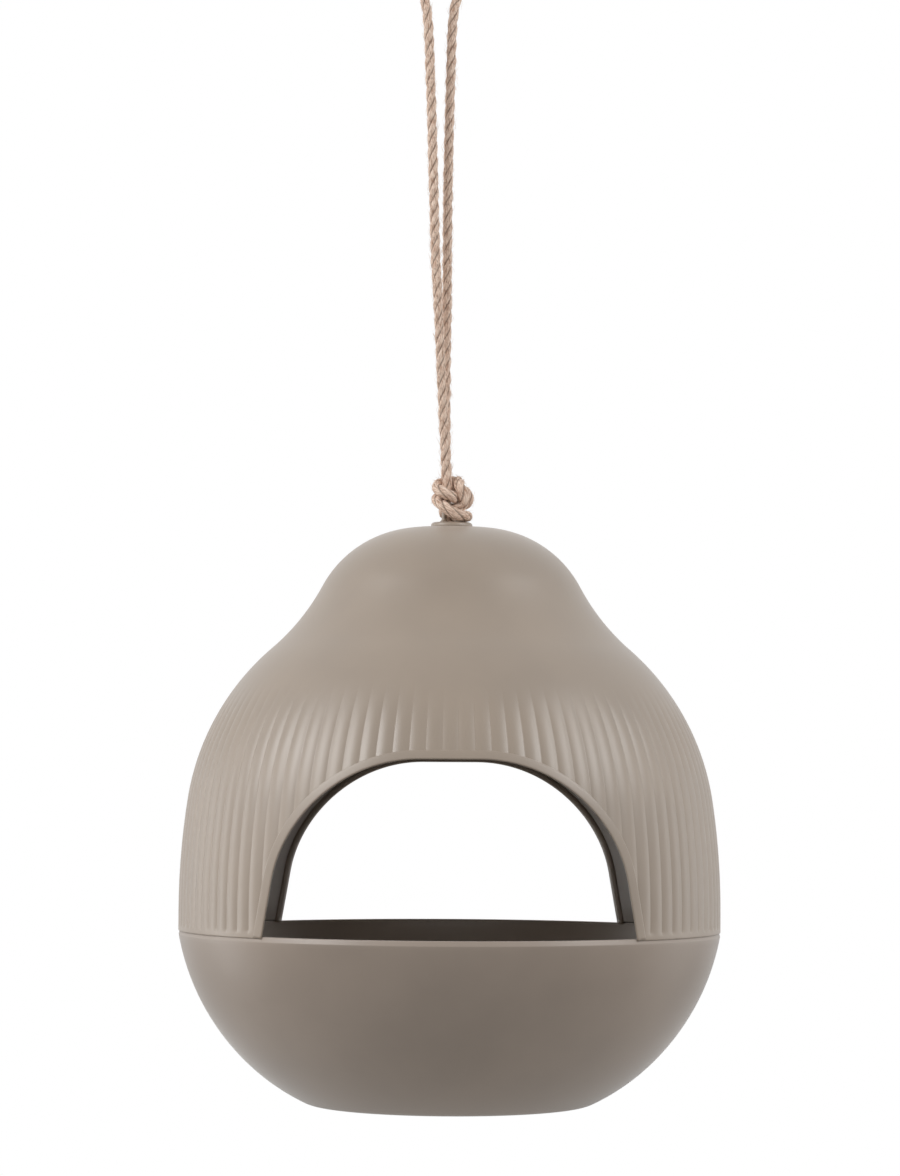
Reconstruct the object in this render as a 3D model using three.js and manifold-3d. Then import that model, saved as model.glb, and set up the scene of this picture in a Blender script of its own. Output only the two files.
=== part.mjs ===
// A hanging bird feeder: a pear-shaped roof with two arched windows over a round seed bowl, on a jute rope.
// Millimetres, +Z up. The feeder is drawn with z = 0 at the top of the bowl's lip, then hung below the
// origin, which is the inside of the rope's loop, where a hook carries it.
import * as THREE from "three";
import { mergeVertices } from "three/addons/utils/BufferGeometryUtils.js";
import Module from "manifold-3d";

const { Manifold, Mesh: SolidMesh } = await Module().then((wasm) => {
  wasm.setup();
  return wasm;
});

// Shared fits.
const WALL = 2.4; // moulded wall of the roof and the bowl
const GAP = 0.35; // room between pieces that touch
const SIDES = 100; // facets round the roof and the bowl, one to a rib; half as many inside

// Roof: a straight foot, then a chain of tangent arcs. Each arc ends at its lean from upright, in degrees,
// and the crown's arc spans what is left between the neck and the flat round the hanger's boss.
const RIM_RADIUS = 99.7;
const STRAIGHT_TOP = 7.65; // height at which the skirt starts to lean in
const SKIRT_RADIUS = 270.3;
const SKIRT_LEAN = 8.54;
const SHOULDER_RADIUS = 91.4;
const SHOULDER_LEAN = 49.1;
const NECK_RADIUS = 80.6;
const NECK_LEAN = 27.96;
const CROWN_LAND = 3.72; // width of the flat round the boss
const EDGE_DROP = 0.65; // how far the roof's thin edge laps down over the bowl's lip

// Ribs: rounded, one to a facet, with a sharp groove between neighbours. They fade out below the neck.
const RIB_CREST = 0.4; // share of a rib's width that lies at the roof's own radius
const GROOVE_DEPTH = 0.7;
const GROOVE_FOOT = [0.6, 2.4]; // heights between which a groove grows to its depth
const GROOVE_HEAD = [72, 90]; // heights between which it fades

// Windows: one arch, cut straight through front and back.
const SILL_HALF = 65.3;
const ARCH_HEIGHT = 62;
const JAMB_HEIGHT = 19.5; // straight part of the sides
const JAMB_LEAN = 3.3; // how far it leans in over that height
const HEAD_HALF = 10.5; // straight part of the top
const BORDER = 3.2; // plain band round the window
const BORDER_PROUD = 0.12;

// Bowl: a sloped lip, two tangent arcs and a rounded edge down to a flat foot. Leans are in degrees under
// upright.
const LIP_HEIGHT = 1.85;
const LIP_SLOPE = 0.85; // how much wider the lip is at its foot than at its top
const LIP_INSET = 0.15; // how far the foot of the lip stands inside the roof's rim
const BOWL_TOP_LEAN = 10.4;
const BOWL_UPPER_RADIUS = 86.2;
const BOWL_UPPER_LEAN = 46.7;
const BOWL_LOWER_RADIUS = 80.8;
const BOWL_LOWER_LEAN = 64;
const FOOT_EDGE_RADIUS = 11.5;

// Twist lock: hooks on the roof's legs carry ledges inside the bowl.
const HOOKS = [26, 154, 206, 334]; // degrees round from +X, two to a leg
const HOOK_WEB = 3; // degrees
const HOOK_TOE = 8; // degrees that the toe reaches past the web
const HOOK_THICK = 2.4;
const HOOK_ROOM = 2.3; // between a hook and the inside of the bowl's lip
const HOOK_TOP = 9;
const TOE_TOP = -6;
const TOE_THICK = 2.4;
const LEDGE_WIDTH = 6; // degrees
const LEDGE_THICK = 2;

// Hanger eye: a boss on the crown with an arch for the rope, on a stem with a snap collar under the roof.
const BOSS_RADIUS = 7.7;
const BOSS_HEIGHT = 1.7;
const BOSS_CHAMFER = 1.2;
const STEM_RADIUS = 3.7;
const COLLAR_RADIUS = 5.4;
const COLLAR_HEIGHT = 2.2;
const BAR = 1.8; // thickness of the arch
const EYE_RISE = 3.5; // from the boss to the middle of the arch

// Rope: one loop, knotted above the eye.
const ROPE = 3.6;
const KNOT_ROPE = 3.1; // the rope where the knot squeezes it
const ARCH_RADIUS = KNOT_ROPE / 2 + GAP + BAR / 2;

// The knot's route from one strand's top, through the eye and back up, measured from the middle of the eye.
const KNOT_ROUTE = [
  [-2.4, -2.1, 19], [-2.2, -2.1, 14.5], [-1.8, -2.1, 9.8], [-1.9, -1.3, 7.1], [-2.2, 2.4, 4.1],
  [-2.7, 5.4, 0.4], [-0.3, 7.2, -1.35], [4, 5.5, -1.25], [5.6, 0.3, -1.2], [4.3, -5, -1.4], [1.1, -7.3, -0.6],
  [-2, -6.9, 1.3], [-4.5, -4, 3.5], [-5.6, 0.7, 5.2], [-4.4, 4.9, 6.8], [-1.2, 6.8, 7.9], [2, 6.1, 8.4],
  [4.5, 3.7, 8.3], [5.8, 1.6, 7.2], [6.1, 1, 5.6], [5.5, 1.7, 4], [3.9, 3.4, 3.2], [2.1, 3.8, 2.4],
  [0.7, 2.5, 0.9], [0, 0, 0], [0.2, -2.1, 0.2], [1.1, -3.4, 0.8], [2.7, -3.7, 1.8], [4.1, -3.9, 3.2],
  [4.5, -4.9, 5.3], [3.8, -4.9, 7.8], [2.9, -2.9, 10.1], [2.4, 0.9, 11.6], [1.5, 4.8, 12.1],
  [-1, 6.4, 12], [-3.8, 4.9, 11.5], [-5.2, 0.8, 10.3], [-4.9, -3.9, 8.4], [-2.2, -6.5, 6.9],
  [0.2, -5.9, 5.6], [1.2, -2.7, 5.5], [1.6, 0.4, 5.8], [1.1, 1.8, 6.7], [-0.2, 2.1, 8.6],
  [-1.2, 2, 10.9], [-1.9, 2.1, 15], [-2.2, 2.1, 19],
];

// The free loop's route from the knot up the left strand, over the hook and down the right one.
const LOOP_ROUTE = [
  [-2.4, -2.1, 19.4], [-4, -2.2, 49], [-5.5, -2.3, 79], [-6.5, -2.4, 94], [-7.5, -2.5, 123.5],
  [-8.8, -2.6, 160.5], [-10.4, -2.5, 188], [-12.9, -2, 199], [-12.2, -1.2, 207.5], [-9, -0.4, 212.3],
  [-5.5, 0, 213.5], [-2, 0.4, 212.3], [1.2, 1.2, 207.5], [2, 2, 199], [-0.3, 2.5, 188],
  [-1.4, 2.6, 160.5], [-2.1, 2.5, 123.5], [-2.2, 2.4, 94], [-2.2, 2.3, 79], [-2.5, 2.2, 49],
  [-2.2, 2.1, 19.4],
];

const rad = THREE.MathUtils.degToRad;

// Weld a geometry's corners, drop the triangles that vanish, and make a solid of it.
function solid(geometry) {
  const bare = new THREE.BufferGeometry();
  bare.setAttribute("position", geometry.getAttribute("position"));
  bare.setIndex(geometry.getIndex());
  const welded = mergeVertices(bare, 1e-4);
  const corners = welded.index.array;
  const kept = [];
  for (let i = 0; i < corners.length; i += 3) {
    const [a, b, c] = corners.slice(i, i + 3);
    if (a !== b && b !== c && c !== a) kept.push(a, b, c);
  }
  return new Manifold(
    new SolidMesh({
      numProp: 3,
      vertProperties: new Float32Array(welded.attributes.position.array),
      triVerts: new Uint32Array(kept),
    }),
  );
}

// Join rings of points into one skin. A ring of one point closes it on the axis; otherwise the last ring
// meets the first. Neighbours have as many points as each other, or a whole multiple.
function skin(rings) {
  const positions = rings.flat(2);
  const index = [];
  let start = 0;
  rings.forEach((lower, k) => {
    const upper = rings[(k + 1) % rings.length];
    const next = k + 1 < rings.length ? start + lower.length : 0;
    const count = Math.max(lower.length, upper.length);
    const at = (ring, i) => Math.floor((i * ring.length) / count) % ring.length;
    for (let i = 0; i < count; i += 1) {
      const a0 = start + at(lower, i);
      const a1 = start + at(lower, i + 1);
      const b0 = next + at(upper, i);
      const b1 = next + at(upper, i + 1);
      if (a0 !== a1) index.push(a0, a1, b1);
      if (b0 !== b1) index.push(a0, b1, b0);
    }
    start += lower.length;
  });
  const geometry = new THREE.BufferGeometry();
  geometry.setAttribute("position", new THREE.Float32BufferAttribute(positions, 3));
  geometry.setIndex(index);
  return geometry;
}

// A level ring of points. A ribbed ring has three to a rib: both edges of its crest, then the groove beyond.
function ring([radius, z], sides = SIDES, depth = 0) {
  if (radius === 0) return [[0, 0, z]];
  const crest = RIB_CREST / 2;
  const places = depth > 0 ? [[-crest, 0], [crest, 0], [0.5, depth]] : [[0, 0]];
  const ribs = Array.from({ length: sides }, (_, i) =>
    places.map(([along, sunk]) => {
      const angle = ((i + along) * 2 * Math.PI) / sides;
      return [(radius - sunk) * Math.cos(angle), (radius - sunk) * Math.sin(angle), z];
    }),
  );
  return ribs.flat();
}

// Points of a chain of tangent arcs. An arc with turn 1 is hollow to the axis side, one with turn -1 to the
// outside. Angles are those of the surface's normal above level.
function arcChain(from, arcs) {
  const points = [from];
  let [r, z] = from;
  for (const { radius, start, end, turn, steps } of arcs) {
    const centre = [r - turn * radius * Math.cos(rad(start)), z - turn * radius * Math.sin(rad(start))];
    for (let i = 1; i <= steps; i += 1) {
      const angle = rad(start + ((end - start) * i) / steps);
      r = centre[0] + turn * radius * Math.cos(angle);
      z = centre[1] + turn * radius * Math.sin(angle);
      points.push([r, z]);
    }
  }
  return points;
}

// The roof's outline at a depth inside its outer face, from the straight skirt to the level top.
function roofOutline(inset, steps) {
  const sides = arcChain(
    [RIM_RADIUS - inset, STRAIGHT_TOP],
    [
      { radius: SKIRT_RADIUS - inset, start: 0, end: SKIRT_LEAN, turn: 1, steps: steps[0] },
      { radius: SHOULDER_RADIUS - inset, start: SKIRT_LEAN, end: SHOULDER_LEAN, turn: 1, steps: steps[1] },
      { radius: NECK_RADIUS + inset, start: SHOULDER_LEAN, end: NECK_LEAN, turn: -1, steps: steps[2] },
    ],
  );
  const radius = (sides.at(-1)[0] - BOSS_RADIUS - CROWN_LAND) / Math.cos(rad(NECK_LEAN));
  const crown = arcChain(sides.at(-1), [{ radius, start: NECK_LEAN, end: 90, turn: 1, steps: steps[3] }]);
  return [...sides, ...crown.slice(1)];
}

// How deep the grooves are at a height.
function grooveDepth(z) {
  const foot = THREE.MathUtils.smoothstep(z, ...GROOVE_FOOT);
  const head = 1 - THREE.MathUtils.smoothstep(z, ...GROOVE_HEAD);
  return GROOVE_DEPTH * Math.min(foot, head);
}

// The window's arch, grown by some width, as a straight cut through the roof from front to back.
function windowCut(grow) {
  const half = SILL_HALF + grow;
  const jamb = half - JAMB_LEAN;
  const top = ARCH_HEIGHT + grow;
  const under = -2 * LIP_HEIGHT;
  const pull = (top - JAMB_HEIGHT) * 0.52; // how far each end of the curve runs on before it turns
  const reach = (jamb - HEAD_HALF) * 0.52;
  const lean = (JAMB_LEAN / JAMB_HEIGHT) * pull;
  const arch = new THREE.Shape();
  arch.moveTo(-half, under);
  arch.lineTo(half, under);
  arch.lineTo(half, 0);
  arch.lineTo(jamb, JAMB_HEIGHT);
  arch.bezierCurveTo(jamb - lean, JAMB_HEIGHT + pull, HEAD_HALF + reach, top, HEAD_HALF, top);
  arch.lineTo(-HEAD_HALF, top);
  arch.bezierCurveTo(-HEAD_HALF - reach, top, lean - jamb, JAMB_HEIGHT + pull, -jamb, JAMB_HEIGHT);
  arch.lineTo(-half, 0);
  const depth = 3 * RIM_RADIUS;
  const cut = new THREE.ExtrudeGeometry(arch, { depth, bevelEnabled: false, curveSegments: 10 });
  return solid(cut.rotateX(Math.PI / 2).translate(0, depth / 2, 0));
}

// A block bent round the axis, between two radii, two heights and two angles in degrees.
function sector(inner, outer, bottom, top, from, to) {
  const shape = new THREE.Shape();
  shape.absarc(0, 0, outer, rad(from), rad(to), false);
  shape.absarc(0, 0, inner, rad(to), rad(from), true);
  const depth = top - bottom;
  const block = new THREE.ExtrudeGeometry(shape, { depth, bevelEnabled: false, curveSegments: 3 });
  return solid(block.translate(0, 0, bottom));
}

// A round bar along a curve.
function bar(curve, diameter, steps, sides) {
  const section = new THREE.Shape().absarc(0, 0, diameter / 2, 0, 2 * Math.PI);
  return new THREE.ExtrudeGeometry(section, { extrudePath: curve, steps, curveSegments: sides / 2 });
}

const toCurve = (route) => new THREE.CatmullRomCurve3(route.map((p) => new THREE.Vector3(...p)));

// Roof shell
const roofTop = roofOutline(0, [1, 1, 1, 1]).at(-1)[1];
const roofUnder = roofTop - WALL;
const stemHole = STEM_RADIUS + GAP;
const lipFoot = RIM_RADIUS - LIP_INSET; // outer radius of the bowl's lip at its foot
const lipTop = lipFoot - LIP_SLOPE;
const edgeInner = lipTop + (LIP_SLOPE * EDGE_DROP) / LIP_HEIGHT + GAP; // the roof's thin edge clears the lip
const seat = GAP; // the roof's legs end just above the bowl's lip

function roofBlank(proud, ribbed) {
  const footHeights = [-EDGE_DROP, GROOVE_FOOT[0], GROOVE_FOOT[1]];
  const foot = footHeights.map((z) => [RIM_RADIUS + proud, z]);
  const outer = [...foot, ...roofOutline(-proud, [2, 5, 2, 4])];
  const outerRings = outer.map((p) => ring(p, SIDES, ribbed ? grooveDepth(p[1]) : 0));
  const hole = [[stemHole, roofTop + proud], [stemHole, roofUnder]];
  const inner = [...hole, ...roofOutline(WALL, [2, 4, 2, 3]).reverse(), [RIM_RADIUS - WALL, seat]];
  const innerRings = inner.map((p) => ring(p, SIDES / 2));
  const edge = [ring([edgeInner, seat]), ring([edgeInner, -EDGE_DROP])];
  return solid(skin([...outerRings, ...innerRings, ...edge]));
}

const band = windowCut(BORDER).intersect(roofBlank(BORDER_PROUD, false));
const legs = RIM_RADIUS - WALL / 2; // the hooks grow out of the middle of the wall
const hookOuter = lipFoot - WALL - HOOK_ROOM;
const hookInner = hookOuter - HOOK_THICK;
const hookParts = HOOKS.flatMap((at) => {
  const end = at + HOOK_WEB;
  return [
    sector(hookInner, legs, 2 * GAP, HOOK_TOP, at, end),
    sector(hookInner, hookOuter, TOE_TOP - TOE_THICK, HOOK_TOP, at, end),
    sector(hookInner, hookOuter, TOE_TOP - TOE_THICK, TOE_TOP, at, end + HOOK_TOE),
  ];
});
const roofBody = roofBlank(0, true).add(band).subtract(windowCut(0));
const roofShell = roofBody.add(Manifold.union(hookParts));

// Seed bowl
function bowlOutline(inset, steps) {
  const upper = { start: -BOWL_TOP_LEAN, end: -BOWL_UPPER_LEAN, turn: 1, steps: steps[0] };
  const lower = { start: -BOWL_UPPER_LEAN, end: -BOWL_LOWER_LEAN, turn: 1, steps: steps[1] };
  const edge = { start: -BOWL_LOWER_LEAN, end: -90, turn: 1, steps: steps[2] };
  const lean = rad(BOWL_TOP_LEAN);
  return arcChain(
    [lipFoot - inset * Math.cos(lean), -LIP_HEIGHT + inset * Math.sin(lean)],
    [
      { ...upper, radius: BOWL_UPPER_RADIUS - inset },
      { ...lower, radius: BOWL_LOWER_RADIUS - inset },
      { ...edge, radius: FOOT_EDGE_RADIUS - inset },
    ],
  );
}

const bowlOuter = bowlOutline(0, [5, 3, 3]);
const bowlInner = bowlOutline(WALL, [4, 2, 2]);
const footHeight = bowlOuter.at(-1)[1];
const outside = [[0, footHeight], ...bowlOuter.reverse(), [lipTop, 0]];
const inside = [[bowlInner[0][0], 0], ...bowlInner, [0, footHeight + WALL]];
const bowlRings = [...outside.map((p) => ring(p)), ...inside.map((p) => ring(p, SIDES / 2))];
const ledgeBottom = TOE_TOP + GAP;
const ledgeOuter = lipTop - WALL / 2; // ends inside the bowl's wall
const turnGap = THREE.MathUtils.radToDeg(GAP / hookInner);
const ledges = HOOKS.map((at) => {
  const from = at + HOOK_WEB + turnGap;
  return sector(hookInner, ledgeOuter, ledgeBottom, ledgeBottom + LEDGE_THICK, from, from + LEDGE_WIDTH);
});
const seedBowl = solid(skin(bowlRings)).add(Manifold.union(ledges));

// Hanger eye
const bossBottom = roofTop + GAP;
const bossTop = bossBottom + BOSS_HEIGHT;
const collarTop = roofUnder - GAP;
const plug = [
  [0, collarTop - COLLAR_HEIGHT],
  [STEM_RADIUS, collarTop - COLLAR_HEIGHT],
  [COLLAR_RADIUS, collarTop - COLLAR_HEIGHT / 3],
  [COLLAR_RADIUS, collarTop],
  [STEM_RADIUS, collarTop],
  [STEM_RADIUS, bossBottom],
  [BOSS_RADIUS, bossBottom],
  [BOSS_RADIUS, bossTop - BOSS_CHAMFER],
  [BOSS_RADIUS - BOSS_CHAMFER, bossTop],
  [0, bossTop],
];
const eyeHeight = bossTop + EYE_RISE;
const archFoot = (x) => new THREE.Vector3(x, 0, bossTop - BOSS_HEIGHT / 2);
const archTop = Array.from({ length: 13 }, (_, i) => {
  const angle = (Math.PI * i) / 12;
  return new THREE.Vector3(ARCH_RADIUS * Math.cos(angle), 0, eyeHeight + ARCH_RADIUS * Math.sin(angle));
});
const archRoute = new THREE.CatmullRomCurve3([archFoot(ARCH_RADIUS), ...archTop, archFoot(-ARCH_RADIUS)]);
const hangerEye = solid(skin(plug.map((p) => ring(p, 32)))).add(solid(bar(archRoute, BAR, 18, 8)));

// Rope
const knotCurve = toCurve(KNOT_ROUTE);
const loopCurve = toCurve(LOOP_ROUTE);
const eye = new THREE.Vector3(0, 0, eyeHeight);
const knot = solid(bar(knotCurve, KNOT_ROPE, 80, 8).translate(...eye));
const loop = solid(bar(loopCurve, ROPE, 72, 8).translate(...eye));

// The least gap between two turns of the knot, on points along it.
const marks = knotCurve.getSpacedPoints(360);
const apart = Math.round((marks.length * 2.2 * KNOT_ROPE) / knotCurve.getLength());
let leastGap = Infinity;
marks.forEach((p, i) => {
  marks.slice(i + apart).forEach((q) => {
    leastGap = Math.min(leastGap, p.distanceTo(q) - KNOT_ROPE);
  });
});
const ropeLength = knotCurve.getLength() + loopCurve.getLength();
console.log(`least gap in the knot ${leastGap.toFixed(2)} mm, rope ${ropeLength.toFixed(0)} mm`);

// The hook bears on the inside of the loop, which is the origin.
const loopTop = loopCurve.getPoint(0.5).add(eye);
const hang = new THREE.Vector3(-loopTop.x, -loopTop.y, ROPE / 2 - loopTop.z);

const part = new THREE.Group();
part.name = "bird_feeder";

function addPiece(name, body, colour, roughness) {
  const mesh = body.getMesh();
  const geometry = new THREE.BufferGeometry();
  geometry.setAttribute("position", new THREE.BufferAttribute(mesh.vertProperties, 3));
  geometry.setIndex(new THREE.BufferAttribute(mesh.triVerts, 1));
  geometry.computeVertexNormals();
  const piece = new THREE.Mesh(geometry, new THREE.MeshStandardMaterial({ color: colour, roughness }));
  piece.name = name;
  piece.position.copy(hang);
  part.add(piece);
}

addPiece("hanging_rope", loop, "#b89a7c", 0.95);
addPiece("rope_knot", knot, "#b89a7c", 0.95);
addPiece("hanger_eye", hangerEye, "#a09385", 0.6);
addPiece("roof_shell", roofShell, "#a09385", 0.6);
addPiece("seed_bowl", seedBowl, "#988b7d", 0.6);

export default part;
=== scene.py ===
import math
from itertools import accumulate

import bpy
import numpy as np
from mathutils import Matrix, Vector


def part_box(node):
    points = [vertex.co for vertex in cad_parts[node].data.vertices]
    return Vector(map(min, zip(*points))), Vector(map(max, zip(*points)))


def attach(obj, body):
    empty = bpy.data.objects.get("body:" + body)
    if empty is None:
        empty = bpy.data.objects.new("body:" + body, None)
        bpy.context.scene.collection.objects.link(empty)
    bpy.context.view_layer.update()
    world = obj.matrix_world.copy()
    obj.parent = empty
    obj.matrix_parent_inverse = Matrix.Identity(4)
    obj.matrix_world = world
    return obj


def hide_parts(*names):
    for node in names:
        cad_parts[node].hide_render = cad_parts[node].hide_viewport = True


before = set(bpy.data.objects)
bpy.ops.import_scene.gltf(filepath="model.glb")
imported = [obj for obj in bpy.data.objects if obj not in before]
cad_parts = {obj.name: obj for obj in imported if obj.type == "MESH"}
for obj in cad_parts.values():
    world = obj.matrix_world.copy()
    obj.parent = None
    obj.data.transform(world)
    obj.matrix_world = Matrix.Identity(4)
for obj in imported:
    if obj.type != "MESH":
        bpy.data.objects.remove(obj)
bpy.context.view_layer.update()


# Camera: a long lens a little above the bowl's lip, tipped up to take in the rope.
# The third of a degree of roll is the lean at which the feeder hangs from its rope.
roof_low, roof_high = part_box("roof_shell")
axis_x = (roof_low.x + roof_high.x) / 2
seam_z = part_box("seed_bowl")[1].z  # top of the bowl's lip, from which the body's heights are measured
camera_place = (axis_x - 0.0005, -1.330, seam_z + 0.0554)
camera_tip = math.radians(90 + 3.04)  # from straight down
camera_roll = math.radians(0.33)

camera = bpy.data.objects.new("camera", bpy.data.cameras.new("camera"))
camera.data.sensor_width = 36
camera.data.lens = 110
camera.matrix_world = (
    Matrix.Translation(camera_place)
    @ Matrix.Rotation(camera_tip, 4, "X")
    @ Matrix.Rotation(camera_roll, 4, "Z")
)
bpy.context.scene.collection.objects.link(camera)
bpy.context.scene.camera = camera


# Hanging rope: three jute strands laid up to the right, 3.6 mm thick. It rises from the knot as two lengths
# side by side, which close in a loop over the hook, just above the view. The routes are those of the solids:
# up the right length, over the loop and down the left one, then through the knot and the moulded eye.
rope_radius = 0.00186
knot_radius = 0.00212  # the strands open up where the rope is bent
opening_start, opening_length = 0.004, 0.012  # the stretch from each end of the knot on which they open up
strand_share = 0.64  # a strand's radius in that of the rope
lay_length = 0.017  # one full turn of the three strands
ring_step = 0.0006  # from one ring of the rope's skin to the next
ring_sides = 42
swell = 0.03  # share by which the spun rope is thicker and thinner
swell_waves, drift_waves = 59, 21  # round the whole rope, for swells of about 9 mm that come and go
arch_radius = 0.0028  # of the moulded eye, to the middle of its bar
bar_radius = 0.0009
eye_over_boss = 0.0035  # from the top of the eye's boss to the middle of its arch
eye_centre = np.array([axis_x, 0.0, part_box("hanger_eye")[1].z - (arch_radius + bar_radius)])
boss_top_z = eye_centre[2] - eye_over_boss
loop_route = eye_centre + 0.001 * np.array([
    [-2.2, 2.1, 19.4], [-2.5, 2.2, 49], [-2.2, 2.3, 79], [-2.2, 2.4, 94], [-2.1, 2.5, 123.5],
    [-1.4, 2.6, 160.5], [-0.3, 2.5, 188], [2, 2, 199], [1.2, 1.2, 207.5], [-2, 0.4, 212.3],
    [-5.5, 0, 213.5], [-9, -0.4, 212.3], [-12.2, -1.2, 207.5], [-12.9, -2, 199], [-10.4, -2.5, 188],
    [-8.8, -2.6, 160.5], [-7.5, -2.5, 123.5], [-6.5, -2.4, 94], [-5.5, -2.3, 79], [-4, -2.2, 49],
    [-2.4, -2.1, 19.4],
])
knot_route = eye_centre + 0.001 * np.array([
    [-2.4, -2.1, 19], [-2.2, -2.1, 14.5], [-1.8, -2.1, 9.8], [-1.9, -1.3, 7.1], [-2.2, 2.4, 4.1],
    [-2.7, 5.4, 0.4], [-0.3, 7.2, -1.35], [4, 5.5, -1.25], [5.6, 0.3, -1.2], [4.3, -5, -1.4],
    [1.1, -7.3, -0.6], [-2, -6.9, 1.3], [-4.5, -4, 3.5], [-5.6, 0.7, 5.2], [-4.4, 4.9, 6.8],
    [-1.2, 6.8, 7.9], [2, 6.1, 8.4], [4.5, 3.7, 8.3], [5.8, 1.6, 7.2], [6.1, 1, 5.6], [5.5, 1.7, 4],
    [3.9, 3.4, 3.2], [2.1, 3.8, 2.4], [0.7, 2.5, 0.9], [0, 0, 0], [0.2, -2.1, 0.2], [1.1, -3.4, 0.8],
    [2.7, -3.7, 1.8], [4.1, -3.9, 3.2], [4.5, -4.9, 5.3], [3.8, -4.9, 7.8], [2.9, -2.9, 10.1],
    [2.4, 0.9, 11.6], [1.5, 4.8, 12.1], [-1, 6.4, 12], [-3.8, 4.9, 11.5], [-5.2, 0.8, 10.3],
    [-4.9, -3.9, 8.4], [-2.2, -6.5, 6.9], [0.2, -5.9, 5.6], [1.2, -2.7, 5.5], [1.6, 0.4, 5.8],
    [1.1, 1.8, 6.7], [-0.2, 2.1, 8.6], [-1.2, 2, 10.9], [-1.9, 2.1, 15], [-2.2, 2.1, 19.4],
])


def rope_line(route, step):
    """Points about step apart on a smooth curve through a route whose last point is its first.

    Between two route points the curve is a cubic whose end slopes weigh the neighbouring chords by the square
    root of their lengths, so that it doesn't overshoot where points lie close together."""
    knots = np.concatenate([route[-2:-1], route, route[1:2]])
    gaps = np.sqrt(np.linalg.norm(np.diff(knots, axis=0), axis=1))[:, None]
    slopes = np.diff(knots, axis=0) / gaps
    wide = (knots[2:] - knots[:-2]) / (gaps[1:] + gaps[:-1])
    slope_at = slopes[:-1] - wide + slopes[1:]
    start, end = slope_at[:-1] * gaps[1:-1], slope_at[1:] * gaps[1:-1]
    t = np.linspace(0, 1, 60, endpoint=False)[None, :, None]
    a, b = route[:-1, None], route[1:, None]
    rise = t * t * (3 - 2 * t)
    curve = a + (b - a) * rise + start[:, None] * t * (1 - t) ** 2 - end[:, None] * t * t * (1 - t)
    fine = np.concatenate([curve.reshape(-1, 3), route[-1:]])
    along = np.concatenate([[0], np.cumsum(np.linalg.norm(np.diff(fine, axis=0), axis=1))])
    even = np.linspace(0, along[-1], round(along[-1] / step) + 1)
    return np.stack([np.interp(even, along, fine[:, k]) for k in range(3)], axis=1), even


def laid_rope(line, along, radius):
    """The skin of a three-strand rope along a line, as a grid of points, with crest and map for each point.

    Its section is the outline of three circles whose middles stand a third of a turn apart. The frame that
    carries it is passed on along the line without twist, and the section turns about the line once for each
    lay length, give or take what makes the strands meet where the line's end joins its start. The map runs
    round the rope and along it in metres, and crest is 1 on a strand and 0 in a groove."""
    tangent = np.gradient(line, axis=0)
    tangent /= np.linalg.norm(tangent, axis=1, keepdims=True)

    def carry(normal, direction):
        level = normal - direction * (normal @ direction)
        return level / np.linalg.norm(level)

    first = np.cross(tangent[0], [0.0, 1.0, 0.0])
    normal = np.array(list(accumulate(tangent, carry, initial=first))[1:])
    across = np.cross(tangent, normal)
    third = 2 * np.pi / 3
    turn = np.linspace(0, 2 * np.pi, ring_sides + 1)
    off = np.abs((turn + third / 2) % third - third / 2)  # from the nearest strand's crest
    reach = 1 - strand_share
    outline = reach * np.cos(off) + np.sqrt(strand_share**2 - (reach * np.sin(off)) ** 2)
    crest = (outline - outline.min()) / (outline.max() - outline.min())
    slip = np.arctan2(normal[-1] @ across[0], normal[-1] @ normal[0])
    twist = third * round((2 * np.pi * along[-1] / lay_length + slip) / third) - slip
    angle = turn + twist * along[:, None] / along[-1]
    spokes = np.cos(angle)[..., None] * normal[:, None] + np.sin(angle)[..., None] * across[:, None]
    grid = line[:, None] + (radius[:, None] * outline)[..., None] * spokes
    flat = np.stack(np.broadcast_arrays(angle * rope_radius, along[:, None]), axis=-1)
    return grid, np.broadcast_to(crest, angle.shape), flat


def pressed(points):
    """The points with those of the knot's underside pressed up to the boss.

    The face they are pressed to rises to both sides, a little more steeply than six degrees, which leaves
    room for the roof's swing."""
    least_room, slope = 0.00005, 0.108
    room = least_room + slope * np.abs(points[..., :1] - axis_x)
    return np.concatenate([points[..., :2], np.maximum(points[..., 2:], boss_top_z + room)], axis=-1)


def grid_faces(rows, columns, first=0):
    """Corner numbers of a grid's cells, counted from the first corner; the last column joins the first."""
    row = first + np.arange(rows - 1)[:, None] * columns
    column = np.arange(columns)[None, :]
    right = (column + 1) % columns
    cells = [row + column, row + right, row + columns + right, row + columns + column]
    return np.stack(cells, axis=-1).reshape(-1, 4)


def new_piece(name, points, faces):
    """An object in the scene with a mesh of these points and faces."""
    mesh = bpy.data.meshes.new(name)
    mesh.from_pydata(points.reshape(-1, 3).tolist(), [], faces)
    made = bpy.data.objects.new(name, mesh)
    bpy.context.scene.collection.objects.link(made)
    return made


def surface(name, grid):
    """A smooth object on a grid of points, with a four-sided face to each cell between two rows and columns.

    The last column joins the first, and a flat face with a sharp edge closes the first row and the last."""
    rows, columns = grid.shape[:2]
    ring = np.arange(columns)
    ends = [ring[::-1].tolist(), (ring + (rows - 1) * columns).tolist()]
    made = new_piece(name, grid, grid_faces(rows, columns).tolist() + ends)
    made.data.shade_smooth()
    made.data.polygons[-2].use_smooth = made.data.polygons[-1].use_smooth = False
    return made


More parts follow.
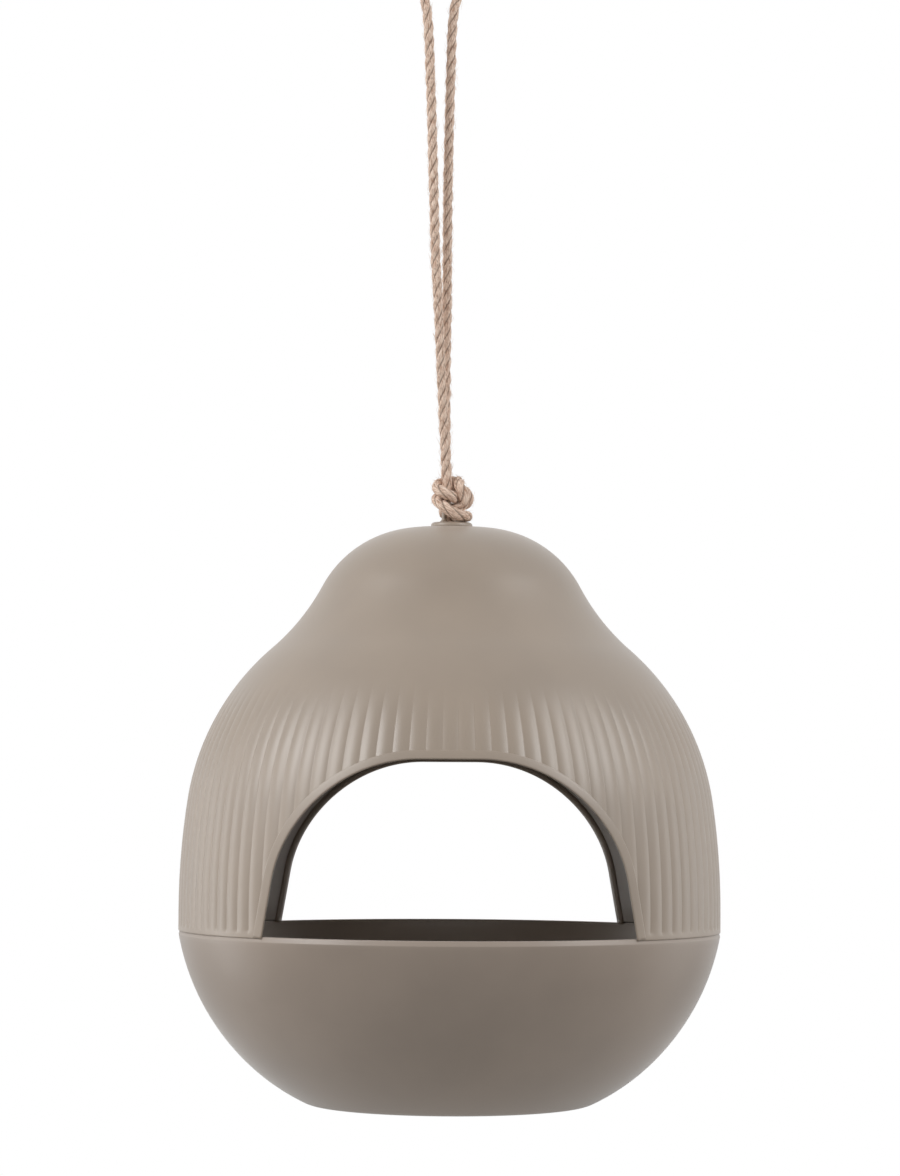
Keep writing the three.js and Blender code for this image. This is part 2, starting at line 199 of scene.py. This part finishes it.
def rope_piece(name, rows):
    """A mesh of some rows of the rope's skin, with its crest and its map.

    The last column of faces ends on the map's far edge, not on the near one whose corners it shares."""
    made = surface(name, rope_grid[rows, :-1])
    mesh = made.data
    mesh.attributes.new("crest", "FLOAT", "POINT").data.foreach_set(
        "value", rope_crest[rows, :-1].ravel().astype(np.float32))
    corner = np.empty(len(mesh.loops), int)
    mesh.loops.foreach_get("vertex_index", corner)
    side, station = corner % ring_sides, corner // ring_sides
    last_cell = np.arange(len(corner)) // 4 % ring_sides == ring_sides - 1
    side = np.where((side == 0) & last_cell, ring_sides, side)
    uv = rope_map[rows][station, side]
    mesh.uv_layers.new(name="along_rope").data.foreach_set("uv", uv.ravel().astype(np.float32))
    mesh.materials.append(jute)
    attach(made, "rope")
    return made


def linear(colour):
    """A hex colour's red, green and blue as linear light, with full opacity."""
    value = np.array([int(colour[i : i + 2], 16) for i in (1, 3, 5)]) / 255
    light = np.where(value <= 0.04045, value / 12.92, ((value + 0.055) / 1.055) ** 2.4)
    return (*light.tolist(), 1.0)


def new_material(name, inputs):
    """A material whose surface shader has these inputs set."""
    made = bpy.data.materials.new(name)
    made.use_nodes = True
    for key, value in inputs.items():
        made.node_tree.nodes["Principled BSDF"].inputs[key].default_value = value
    return made


def add(tree, kind, inputs=None, **settings):
    """A node of that kind with its settings; an input gets a value, or a link where it is given a socket."""
    made = tree.nodes.new(kind)
    for key, value in settings.items():
        setattr(made, key, value)
    for key, value in (inputs or {}).items():
        if isinstance(value, bpy.types.NodeSocket):
            tree.links.new(value, made.inputs[key])
        else:
            made.inputs[key].default_value = value
    return made


def noise(tree, place, scale, detail, roughness=0.5):
    """Cloudy noise from 0 to 1 at a place, with about scale clouds to each unit of length."""
    inputs = {0: place, "Scale": scale, "Detail": detail, "Roughness": roughness}
    return add(tree, "ShaderNodeTexNoise", inputs).outputs[0]


def ranged(tree, value, low, high, start, end):
    """Runs evenly from start to end while a value runs from low to high, and stays level beyond."""
    return add(tree, "ShaderNodeMapRange", {0: value, 1: low, 2: high, 3: start, 4: end}).outputs[0]


def mixed(tree, share, under, over, blend="MIX"):
    """One colour laid over another by a share from 0 to 1."""
    inputs = {0: share, 6: under, 7: over}
    return add(tree, "ShaderNodeMix", inputs, data_type="RGBA", blend_type=blend).outputs[2]


# Twisted jute is dull bast fibre: pale straw on the strands, with painted shade and dust darkening the
# grooves, streaks along it where bundles of fibres lie, 0.4 mm wide, and darker flecks of bark.
streak_width, streak_length = 0.0004, 0.0028
fleck_width, fleck_length = 0.0007, 0.0017
fibre_relief = 0.0004
jute = new_material("twisted jute", {
    "Roughness": 0.92, "Specular IOR Level": 0.15, "Sheen Weight": 0.12, "Sheen Roughness": 0.5,
})
tree = jute.node_tree
shader = tree.nodes["Principled BSDF"]
along_rope = add(tree, "ShaderNodeUVMap", uv_map="along_rope").outputs[0]
streak_scale = (1 / streak_width, 1 / streak_length, 1)
fibres_along = add(tree, "ShaderNodeMapping", {0: along_rope, "Scale": streak_scale}).outputs[0]
fibres = noise(tree, fibres_along, 1, 5, 0.65)
streaks = add(tree, "ShaderNodeValToRGB", {0: fibres})
dark, pale = streaks.color_ramp.elements
dark.position, dark.color = 0.36, linear("#BC9278")
pale.position, pale.color = 0.56, linear("#FFE8D6")
fleck_scale = (1 / fleck_width, 1 / fleck_length, 1)
flecks_along = add(tree, "ShaderNodeMapping", {0: along_rope, "Scale": fleck_scale}).outputs[0]
flecked = ranged(tree, noise(tree, flecks_along, 1, 2), 0.58, 0.72, 0.0, 0.7)
straw = mixed(tree, flecked, streaks.outputs[0], linear("#8A6B57"))
crest = add(tree, "ShaderNodeAttribute", attribute_name="crest").outputs["Fac"]
# Painted shade and dust: the colour darkens to brown towards the grooves between the strands.
groove_shade_and_dust = ranged(tree, crest, 0.0, 0.5, 0.8, 0.0)
tree.links.new(mixed(tree, groove_shade_and_dust, straw, linear("#6B5141")), shader.inputs["Base Color"])
raised = add(tree, "ShaderNodeBump", {"Height": fibres, "Strength": 1.0, "Distance": fibre_relief})
tree.links.new(raised.outputs[0], shader.inputs["Normal"])

rope_middle, rope_along = rope_line(np.concatenate([loop_route, knot_route]), ring_step)
loop_end = np.argmin(np.linalg.norm(rope_middle - (loop_route[-1] + knot_route[0]) / 2, axis=1))
from_knot_ends = np.minimum(rope_along - rope_along[loop_end], rope_along[-1] - rope_along)
in_knot = np.clip((from_knot_ends - opening_start) / opening_length, 0, 1)
round_once = 2 * np.pi * rope_along / rope_along[-1]
uneven = 1 + swell * np.sin(swell_waves * round_once) * np.sin(drift_waves * round_once)
rope_grid, rope_crest, rope_map = laid_rope(
    rope_middle, rope_along, uneven * (rope_radius + (knot_radius - rope_radius) * in_knot))
rope_grid = pressed(rope_grid)
hanging_rope = rope_piece("hanging_rope_laid", slice(0, loop_end + 1))
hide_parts("hanging_rope")

# Loose fibres stand off the rope. The length of their halves, their lift off the skin and their bend aside,
# both in radians, are drawn between a least and a most.
fibre_half, fibre_lift, fibre_bend = (0.0006, 0.0017), (0.1, 0.6), (-0.5, 0.5)
fibre_radii = np.array([0.00005, 0.00005, 0.00001])  # at the root, the middle and the tip
jute_fibre = new_material("loose jute fibre", {"Base Color": linear("#DFC7B3"), "Roughness": 0.9})


def loose_fibres(name, first, last, count, seed):
    """Fibres that have come loose between two rings of the rope's skin, as thin three-sided needles.

    Each leaves the skin along the rope and a little outwards, and its outer half lifts half as much and bends
    aside by a random angle."""
    chance = np.random.default_rng(seed)
    ring = chance.integers(first, last, count)
    root = rope_grid[ring, chance.integers(0, rope_grid.shape[1], count)]
    out = root - rope_middle[ring]
    out /= np.linalg.norm(out, axis=1, keepdims=True)
    way = rope_middle[np.minimum(ring + 1, last)] - rope_middle[np.maximum(ring - 1, first)]
    way *= chance.choice([-1, 1], (count, 1)) / np.linalg.norm(way, axis=1, keepdims=True)
    aside = np.cross(way, out)
    least, most = np.transpose([fibre_half, fibre_lift, fibre_bend])
    length, lift, bend = chance.uniform(least, most, (count, 3)).T[..., None]
    middle = root + length * (way * np.cos(lift) + out * np.sin(lift))
    tip = middle + length * (way * np.cos(bend) + out * lift * 0.5 + aside * np.sin(bend))
    turn = np.radians([90, 210, 330])[:, None]
    section = out[:, None] * np.sin(turn) + aside[:, None] * np.cos(turn)
    spine = np.stack([root, middle, tip], axis=1)[:, :, None]
    points = spine + fibre_radii[:, None, None] * section[:, None]
    first_corner = 9 * np.arange(count)[:, None, None]
    sides = grid_faces(3, 3) + first_corner
    ends = np.array([[2, 1, 0], [6, 7, 8]]) + first_corner
    made = new_piece(name, pressed(points), sides.reshape(-1, 4).tolist() + ends.reshape(-1, 3).tolist())
    made.data.materials.append(jute_fibre)
    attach(made, "rope")
    return made


rope_fuzz = loose_fibres("hanging_rope_fibres", 0, loop_end, 1500, 1)


# Knot: the same rope, doubled through the moulded eye and tied in an overhand knot that rests on the boss.
# It goes on from the last ring of the left length, so the lay runs through.
rope_knot = rope_piece("rope_knot_laid", slice(loop_end, None))
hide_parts("rope_knot")
knot_fuzz = loose_fibres("rope_knot_fibres", loop_end, len(rope_along) - 1, 700, 2)


# Hanger eye: a moulded plastic arch on a round boss, with a stem that snaps through the crown of the roof.
# The arch runs out into the boss in small fillets.
boss_radius, boss_thickness, boss_edge = 0.0077, 0.00212, 0.0012  # seated on the crown, with a rounded edge
boss_dome = 0.00005  # rise of its top in the middle
stem_radius, stem_length = 0.0037, 0.0052
collar_radius, collar_depth, collar_edge = 0.0054, 0.0031, 0.0007  # depth from the boss to the snap collar
leg_sunk = 0.0004  # of the arch's legs in the boss
fillet_reach, fillet_height, fillet_power = 0.0012, 0.0016, 2.2
boss_top = boss_top_z - seam_z
boss_bottom = boss_top - boss_thickness
eye_height = eye_centre[2] - seam_z
body_origin = np.array([axis_x, 0, seam_z])


def arc(radius, height, size, first, last, count):
    """Points in radius and height on an arc of a size round a centre, between two angles in degrees."""
    angle = np.radians(np.linspace(first, last, count))
    return np.stack([radius + size * np.cos(angle), height + size * np.sin(angle)], axis=1)


def round_grid(radius, height, angle):
    """Points at radii, heights and angles about the axis, on the grid that the three arrays make together."""
    return np.stack(np.broadcast_arrays(radius * np.cos(angle), radius * np.sin(angle), height), axis=-1)


def turned(name, profile, columns):
    """A profile of radius and height, in the body's own metres, carried once round the feeder's axis."""
    angle = np.linspace(0, 2 * np.pi, columns, endpoint=False)
    return surface(name, round_grid(profile[:, :1], profile[:, 1:], angle) + body_origin)


def moulded_plastic(name, colour, shine, haze):
    """Injection-moulded polypropylene: even taupe with a satin sheen from a fine eroded grain in the mould.

    The grain is 0.2 mm on the real piece and is drawn at 0.7 mm so that it shows. The tint drifts a little
    over about 30 mm, and slow waves of about 22 mm break up the reflections. Shine is the strength of the
    white reflection, and haze the pale bloom that the grain gives a surface seen at a slant."""
    drift_size, wave_size, grain_size = 0.03, 0.022, 0.0007
    wave_relief, grain_relief = 0.00015, 0.00004
    plastic = new_material(name, {
        "IOR": 1.49, "Specular IOR Level": shine, "Sheen Weight": haze, "Sheen Roughness": 0.35,
    })
    tree = plastic.node_tree
    shader = tree.nodes["Principled BSDF"]
    place = add(tree, "ShaderNodeTexCoord").outputs["Object"]
    drift = noise(tree, place, 1 / drift_size, 3)
    shift = ranged(tree, drift, 0.3, 0.7, 0.955, 1.045)
    tint = mixed(tree, 1.0, linear(colour), shift, blend="MULTIPLY")
    tree.links.new(tint, shader.inputs["Base Color"])
    tree.links.new(ranged(tree, drift, 0.3, 0.7, 0.37, 0.44), shader.inputs["Roughness"])
    grain = noise(tree, place, 1 / grain_size, 2)
    waves = noise(tree, place, 1 / wave_size, 1)
    fine = add(tree, "ShaderNodeBump", {"Height": grain, "Strength": 0.35, "Distance": grain_relief})
    slow = add(tree, "ShaderNodeBump", {
        "Height": waves, "Strength": 0.3, "Distance": wave_relief, "Normal": fine.outputs[0],
    })
    tree.links.new(slow.outputs[0], shader.inputs["Normal"])
    return plastic


roof_plastic = moulded_plastic("taupe polypropylene, roof", "#9C8D7E", 0.9, 0.25)
collar_top = boss_bottom - collar_depth
hanger_boss = turned("hanger_boss", np.concatenate([
    [[stem_radius, boss_bottom - stem_length], [collar_radius, collar_top - collar_edge]],
    [[collar_radius, collar_top], [stem_radius, collar_top]],
    [[stem_radius, boss_bottom], [boss_radius, boss_bottom]],
    arc(boss_radius - boss_edge, boss_top - boss_edge, boss_edge, 0, 90, 7),
    [[0.005, boss_top + boss_dome], [0.002, boss_top + boss_dome]],
]), 96)

leg_height = np.linspace(boss_top - leg_sunk, eye_height, 14)[:-1]
right_leg = np.stack([np.full(len(leg_height), arch_radius), leg_height], axis=1)
arch = np.concatenate([
    right_leg, arc(0, eye_height, arch_radius, 0, 180, 30), right_leg[::-1] * [-1, 1],
])
arch_way = np.gradient(arch, axis=0)
arch_way /= np.linalg.norm(arch_way, axis=1, keepdims=True)
near_boss = np.clip(1 - (arch[:, 1] - boss_top) / fillet_height, 0, 1)
flare = bar_radius + fillet_reach * near_boss**fillet_power
section = np.linspace(0, 2 * np.pi, 28, endpoint=False)
sideways = flare[:, None] * np.cos(section)
arch_grid = np.stack([
    axis_x + arch[:, None, 0] + sideways * arch_way[:, None, 1],
    -flare[:, None] * np.sin(section),
    seam_z + arch[:, None, 1] - sideways * arch_way[:, None, 0],
], axis=-1)
hanger_arch = surface("hanger_arch", arch_grid)
for piece in (hanger_boss, hanger_arch):
    piece.data.materials.append(roof_plastic)
    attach(piece, "roof")
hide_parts("hanger_eye")


# Roof: one moulded shell, 2.4 mm thick, pear-shaped, with a hundred rounded ribs between crisp grooves that
# fade into the smooth crown. Two arched windows leave a leg on either side, whose thin edge laps the bowl's
# lip.
wall = 0.0024
seat_room = 0.00035  # between two pieces that seat on each other
rim_radius = 0.0997
skirt_foot = 0.00765  # height at which the straight rim goes over into the skirt
skirt_arc, shoulder_arc, neck_arc = 0.2703, 0.0914, 0.0806
skirt_lean, shoulder_lean, neck_lean = 8.54, 49.1, 27.96  # degrees from upright, at each arc's upper end
crown_flat = 0.01142  # radius of the flat round the boss
lap_drop, lap_thickness, lap_edge = 0.00065, 0.00055, 0.0005  # of the legs' thin edge below the seam
ribs = 100
groove_depth = 0.00045
groove_start, groove_fade = (0.0006, 0.0023), (0.072, 0.091)  # heights over which the grooves come and go
lining_columns = 400
window_half_width, window_height = 0.0653, 0.062
jamb_height, jamb_lean = 0.0195, 0.0033
head_half_width = 0.0105
arch_pull = 0.52  # share of the way to its corner at which the arch's curve is held
cut_back = 0.0016  # of the shell under the borders of its windows


def tangent_arcs(start, arcs):
    """Points along arcs that meet without a corner, from a start of radius and height.

    Each arc is its radius, the angles of its outward normal above level at both ends, +1 for a bulge or -1
    for a hollow, and its number of steps."""
    parts = [np.array([start], float)]
    for radius, first, last, turn, steps in arcs:
        spoke = turn * arc(0, 0, radius, first, last, steps + 1)
        parts.append(parts[-1][-1] + spoke[1:] - spoke[0])
    return np.concatenate(parts)


def roof_arcs(inset, steps):
    """The roof's outline at a depth inside its outer face: skirt, shoulder and neck, then a crown whose arc
    spans what is left between the neck and the flat round the boss."""
    sides = tangent_arcs([rim_radius - inset, skirt_foot], [
        (skirt_arc - inset, 0, skirt_lean, 1, steps[0]),
        (shoulder_arc - inset, skirt_lean, shoulder_lean, 1, steps[1]),
        (neck_arc + inset, shoulder_lean, neck_lean, -1, steps[2]),
    ])
    crown_arc = (sides[-1, 0] - crown_flat) / math.cos(math.radians(neck_lean))
    crown = tangent_arcs(sides[-1], [(crown_arc, neck_lean, 90, 1, steps[3])])
    return np.concatenate([sides, crown[1:]])


def smooth(value, low, high):
    """0 below low, 1 above high, and an S-shaped rise between."""
    t = np.clip((value - low) / (high - low), 0, 1)
    return t * t * (3 - 2 * t)


def window_arch(grow):
    """Half width and height along the right half of the window, from its foot to the middle of its head.

    A leaning straight jamb runs on into one cubic curve and a short level head; grow offsets it outwards."""
    half, height = window_half_width + grow, window_height + grow
    jamb, slope = half - jamb_lean, jamb_lean / jamb_height
    pull, reach = (height - jamb_height) * arch_pull, (jamb - head_half_width) * arch_pull
    t = np.linspace(0, 1, 60)[:, None]
    p0, p3 = np.array([jamb, jamb_height]), np.array([head_half_width, height])
    p1, p2 = p0 + [-slope * pull, pull], p3 + [reach, 0]
    curve = p0 * (1 - t) ** 3 + 3 * p1 * t * (1 - t) ** 2 + 3 * p2 * t * t * (1 - t) + p3 * t**3
    outline = np.concatenate([[[half + slope * lap_drop, -lap_drop]], curve, [[0, height]]])
    along = np.concatenate([[0], np.cumsum(np.linalg.norm(np.diff(outline, axis=0), axis=1))])
    even = np.linspace(0, along[-1], 110)
    return np.stack([np.interp(even, along, outline[:, k]) for k in range(2)], axis=1)


# One profile runs up the outer face, from the legs' thin edge to the hole for the eye's stem, and one runs
# down the lining.
lap = arc(rim_radius - lap_edge, lap_edge - lap_drop, lap_edge, -80, 0, 6)
rim_heights = np.array([0.3, 0.7, 1.0, 1.3, 1.7, 2.1, 2.6, 3.5, 5, 7]) * 0.001
rim = np.stack([np.full(len(rim_heights), rim_radius), rim_heights], axis=1)
roof_outside, roof_inside = roof_arcs(0, [20, 33, 12, 20]), roof_arcs(wall, [24, 30, 6, 12])
stem_hole = stem_radius + seat_room
roof_top, roof_under = roof_outside[-1, 1], roof_inside[-1, 1]
face = np.concatenate([lap, rim, roof_outside, [[0.0085, roof_top], [stem_hole, roof_top]]])
lining = np.concatenate([
    [[stem_hole, roof_under]], roof_inside[::-1], [[rim_radius - wall, 0.0006]],
    [[rim_radius - wall + 0.0001, seat_room], [rim_radius - lap_thickness, seat_room], lap[0]],
])

# The columns stand closer to the grooves, to keep these crisp. A rib is a parabola from groove to groove.
share = np.array([0, 0.045, 0.14, 0.31, 0.5, 0.69, 0.86, 0.955])
rib_angle = 2 * np.pi / ribs * (np.arange(ribs)[:, None] + 0.5 + share).ravel()
sunk = np.tile((2 * share - 1) ** 2, ribs)
depth_at = groove_depth * smooth(face[:, 1], *groove_start) * (1 - smooth(face[:, 1], *groove_fade))
face_grid = round_grid(face[:, :1] - depth_at[:, None] * sunk, face[:, 1:], rib_angle)
lining_angle = np.linspace(0, 2 * np.pi, lining_columns, endpoint=False)
lining_grid = round_grid(lining[:, :1], lining[:, 1:], lining_angle)

# The windows are left open by dropping the cells whose middles lie inside their outline.
roof_points = np.concatenate([face_grid.reshape(-1, 3), lining_grid.reshape(-1, 3)])
face_corners = face_grid.shape[0] * face_grid.shape[1]
roof_faces = np.concatenate([
    grid_faces(*face_grid.shape[:2]), grid_faces(*lining_grid.shape[:2], face_corners),
])
middle = roof_points[roof_faces].mean(axis=1)
cut = window_arch(cut_back)
window_half = np.interp(middle[:, 2], cut[:, 1], cut[:, 0], left=cut[0, 0], right=0)
roof_faces = roof_faces[np.abs(middle[:, 0]) > window_half]
roof_shell = new_piece("roof_ribbed_shell", roof_points + body_origin, roof_faces.tolist())
roof_shell.data.shade_smooth()
roof_shell.data.materials.append(roof_plastic)
# The lining is the roof's own plastic painted paler, standing in for the light that reaches the roof's
# inside.
roof_shell.data.materials.append(moulded_plastic("taupe polypropylene, roof lining", "#B9B3AD", 0.6, 0))
on_lining = roof_faces.min(axis=1) >= face_corners
roof_shell.data.polygons.foreach_set("material_index", on_lining.astype(np.int32))
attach(roof_shell, "roof")
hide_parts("roof_shell")


# Window borders: the plain band round each window, moulded in one with the roof and just proud of the ribs'
# crests, with a rounded edge to the opening and the cut face of the wall behind it.
band_width, band_rise, band_depth = 0.0032, 0.0001, 0.0012  # rise over the crests, depth into the shell
band_edge, opening_edge = 0.00022, 0.0007  # roundings
band_back = 0.0025  # depth of its back face, just past the wall's inner face
height_step = 1e-9  # keeps rows of one height apart
half_arch = window_arch(0)
arch_path = np.concatenate([half_arch, half_arch[-2::-1] * [-1, 1]])
path_way = np.gradient(arch_path, axis=0)
path_way /= np.linalg.norm(path_way, axis=1, keepdims=True)
outwards = np.stack([path_way[:, 1], -path_way[:, 0]], axis=1)
border_section = np.concatenate([
    [[band_width, -band_depth]],
    arc(band_width - band_edge, band_rise - band_edge, band_edge, 0, 90, 5),
    [[0.002, band_rise], [0.0012, band_rise]],
    arc(opening_edge, band_rise - opening_edge, opening_edge, 90, 180, 7),
    [[0, -band_depth], [0, -0.002], [0.0002, -0.0023], [0.0006, -band_back]],
    [[0.0024, -band_back], [0.0024, -0.0015]],
])
face_radius, face_height = face[np.argsort(face[:, 1], kind="stable")].T
face_slope = np.gradient(face_radius, face_height + height_step * np.arange(len(face_height)))


def window_border(name, side):
    """The section carried along the arch, on the roof's own curve, on the front (-1) or the back (1).

    A section point stands so far from the opening's edge across the view from the front, and so far out from
    the roof's outer face along its radius; its depth follows from that radius and its place across."""
    x = arch_path[:, None, 0] + border_section[:, 0] * outwards[:, None, 0]
    z = arch_path[:, None, 1] + border_section[:, 0] * outwards[:, None, 1]
    stretch = np.sqrt(1 + np.clip(np.interp(z, face_height, face_slope), -1, 1) ** 2)
    radius = np.interp(np.maximum(z, 0), face_height, face_radius) + border_section[:, 1] * stretch
    y = side * np.sqrt(np.maximum(radius**2 - x**2, 0))
    grid = np.stack([x, y, np.maximum(z, -lap_drop)], axis=-1) + body_origin
    return surface(name, grid if side < 0 else grid[:, ::-1])


for piece in (window_border("window_border_front", -1), window_border("window_border_back", 1)):
    piece.data.materials.append(roof_plastic)
    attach(piece, "roof")


# Lock hooks: four L-shaped hooks moulded inside the roof's legs, which reach down past the bowl's lip and
# carry its ledges. Each is a root on the leg, a stem and a toe.
hook_angles = (26, 154, 206, 334)
stem_turn, toe_turn = 3, 11  # degrees round the axis
hook_inner, hook_outer, root_outer = 0.09245, 0.09485, 0.0985  # radii
hook_top, root_bottom, toe_top, hook_bottom = 0.009, 0.0007, -0.006, -0.0084  # heights
block_edge = 0.0004  # rounding of the long edges
hook_parts = {
    "root": (root_outer, root_bottom, hook_top, stem_turn),
    "stem": (hook_outer, hook_bottom, hook_top, stem_turn),
    "toe": (hook_outer, hook_bottom, toe_top, toe_turn),
}


def bent_block(name, inner, outer, bottom, top, first, last):
    """A block bent round the axis between two angles in degrees.

    Its section is a rectangle of radius and height with a quarter circle at each corner."""
    near, far, low, high = inner + block_edge, outer - block_edge, bottom + block_edge, top - block_edge
    section = np.concatenate([
        arc(near, low, block_edge, 180, 270, 3), arc(far, low, block_edge, 270, 360, 3),
        arc(far, high, block_edge, 0, 90, 3), arc(near, high, block_edge, 90, 180, 3),
    ])
    angle = np.radians(np.linspace(first, last, 9))[:, None]
    return surface(name, round_grid(section[:, 0], section[:, 1], angle) + body_origin)


for number, start in enumerate(hook_angles, 1):
    for part, (outer, bottom, top, turn) in hook_parts.items():
        piece = bent_block(f"lock_hook_{number}_{part}", hook_inner, outer, bottom, top, start, start + turn)
        piece.data.materials.append(roof_plastic)
        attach(piece, "roof")


# Seed bowl: one moulded bowl, 2.4 mm thick, with a sloped lip that catches the light under the roof, smooth
# curved sides and a flat foot.
lip_radius, lip_depth = 0.09955, 0.00185
upper_arc, lower_arc, foot_arc = 0.0862, 0.0808, 0.0115
upper_lean, lower_lean, foot_lean = 10.4, 46.7, 64  # degrees from upright, at each arc's upper end
inner_foot_ring, outer_foot_ring = 0.02, 0.045


def bowl_arcs(inset, steps):
    """The bowl's outline at a depth inside its outer face: upper side, lower side and the foot's edge."""
    lean = math.radians(upper_lean)
    return tangent_arcs([lip_radius - inset * math.cos(lean), -lip_depth + inset * math.sin(lean)], [
        (upper_arc - inset, -upper_lean, -lower_lean, 1, steps[0]),
        (lower_arc - inset, -lower_lean, -foot_lean, 1, steps[1]),
        (foot_arc - inset, -foot_lean, -90, 1, steps[2]),
    ])


bowl_outside, bowl_inside = bowl_arcs(0, [32, 16, 8]), bowl_arcs(wall, [22, 12, 6])
foot_z = bowl_outside[-1, 1]
# The lip's slope, in hundredths of a millimetre inwards and down from its outer edge at the seam.
lip_slope = np.array([[1, 192], [1, 179], [10, 150], [35, 70], [48, 25], [57, 8], [80, 0]])
seed_bowl = turned("seed_bowl_shell", np.concatenate([
    [[inner_foot_ring, foot_z], [outer_foot_ring, foot_z]],
    bowl_outside[:0:-1],
    [lip_radius, 0] - 0.00001 * lip_slope,
    [[0.0976, 0], [0.0973, -0.00008], [0.0972, -0.0003]],
    bowl_inside,
    [[outer_foot_ring, foot_z + wall], [inner_foot_ring, foot_z + wall]],
]), 320)
bowl_plastic = moulded_plastic("taupe polypropylene, bowl", "#A09286", 0.6, 0.6)
seed_bowl.data.materials.append(bowl_plastic)
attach(seed_bowl, "bowl")
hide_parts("seed_bowl")


# Lock ledges: four short ledges moulded inside the bowl, one over the toe of each hook; turning the bowl by
# nine degrees carries them past the toes.
ledge_room, ledge_turn = 0.217, 6  # degrees from the hook's stem, and round the axis
ledge_outer, ledge_thickness = 0.0975, 0.002
ledge_bottom = toe_top + seat_room
ledge_top = ledge_bottom + ledge_thickness
for number, start in enumerate(hook_angles, 1):
    first = start + stem_turn + ledge_room
    last = first + ledge_turn
    ledge = bent_block(f"lock_ledge_{number}", hook_inner, ledge_outer, ledge_bottom, ledge_top, first, last)
    ledge.data.materials.append(bowl_plastic)
    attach(ledge, "bowl")


# Studio: a pale floor well below the hanging feeder, a softbox high on either side of the front, a tall one
# level with the seam on either side, a little behind, and a white surround.
floor_half, floor_z = 6, seam_z - 1.0
floor_corners = floor_half * np.array([[-1, -1, 0], [1, -1, 0], [1, 1, 0], [-1, 1, 0]]) + [0, 0, floor_z]
floor = new_piece("studio_floor", floor_corners, [(0, 1, 2, 3)])
paper = new_material("pale backdrop paper", {
    "Base Color": linear("#ECEAE7"), "Roughness": 0.9, "Emission Color": linear("#FFFFFF"),
})
tree = paper.node_tree
seen_by_camera = add(tree, "ShaderNodeLightPath").outputs["Is Camera Ray"]
tree.links.new(seen_by_camera, tree.nodes["Principled BSDF"].inputs["Emission Strength"])
floor.data.materials.append(paper)


def softbox(name, place, target, width, height, power):
    """A rectangular area light at a place, facing a target, with its power in watts."""
    lamp = bpy.data.lights.new(name, "AREA")
    lamp.shape = "RECTANGLE"
    lamp.size, lamp.size_y, lamp.energy = width, height, power
    made = bpy.data.objects.new(name, lamp)
    made.location = place
    made.rotation_euler = (Vector(target) - Vector(place)).to_track_quat("-Z", "Y").to_euler()
    bpy.context.scene.collection.objects.link(made)


body_middle = (axis_x, 0, seam_z + 0.04)
softbox("left_key", (axis_x - 0.9, -0.47, seam_z + 0.62), body_middle, 0.6, 0.6, 7.0)
softbox("right_key", (axis_x + 0.9, -0.42, seam_z + 0.66), body_middle, 0.6, 0.6, 5.5)
softbox("left_side", (axis_x - 1.08, 0.3, seam_z - 0.02), body_middle, 0.3, 0.9, 2.4)
softbox("right_side", (axis_x + 1.08, 0.35, seam_z - 0.02), body_middle, 0.3, 0.9, 1.1)

# The surround is white to the camera and in reflections, and dim as a source of light.
world = bpy.data.worlds.new("white_surround")
world.use_nodes = True
bpy.context.scene.world = world
tree = world.node_tree
tree.nodes.clear()
rays = add(tree, "ShaderNodeLightPath").outputs
seen = add(tree, "ShaderNodeMath", {0: rays["Is Camera Ray"], 1: rays["Is Glossy Ray"]}, operation="MAXIMUM")
dim = add(tree, "ShaderNodeBackground", {"Color": linear("#FFFFFF"), "Strength": 0.33})
white = add(tree, "ShaderNodeBackground", {"Color": linear("#FFFFFF"), "Strength": 1.0})
blend = add(tree, "ShaderNodeMixShader", {0: seen.outputs[0], 1: dim.outputs[0], 2: white.outputs[0]})
add(tree, "ShaderNodeOutputWorld", {"Surface": blend.outputs[0]})
bpy.context.scene.view_settings.view_transform = "Standard"
